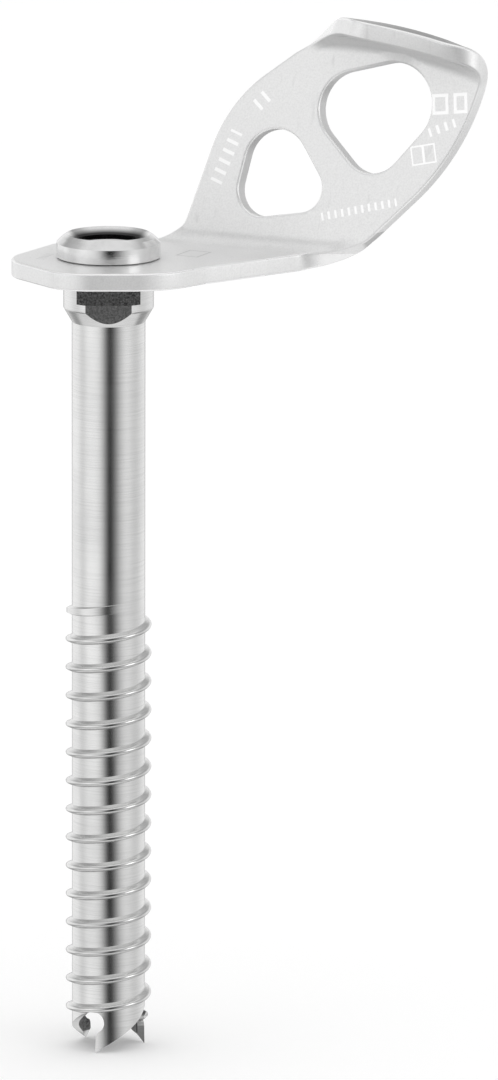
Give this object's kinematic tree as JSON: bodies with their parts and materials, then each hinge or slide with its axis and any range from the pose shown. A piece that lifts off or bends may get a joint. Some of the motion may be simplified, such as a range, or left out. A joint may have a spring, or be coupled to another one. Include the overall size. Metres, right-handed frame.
{
  "type": "ice screw",
  "caption": "Hollow threaded tube with a toothed tip, carrying a bent sheet hanger with an ear and carabiner eyes, closed by a polished head ring.",
  "frame": {"origin": "on the tube's axis at the hanger's underside, which is the face that meets the ice", "axes": "+Z along the tube towards the head, +X to the side of the carabiner eyes, -Y to the side that the ear's front face looks towards"},
  "size_m": [0.1017, 0.0449, 0.2252],
  "materials": {
    "tube_steel": "turned and plated, bright on the tube, rough on the milled flats",
    "hanger_sheet": "tumbled satin",
    "ring_steel": "polished"
  },
  "bodies": {
    "root": {"threaded_tube": "tube_steel", "hanger": "hanger_sheet", "head_ring": "ring_steel"}
  },
  "joints": []
}
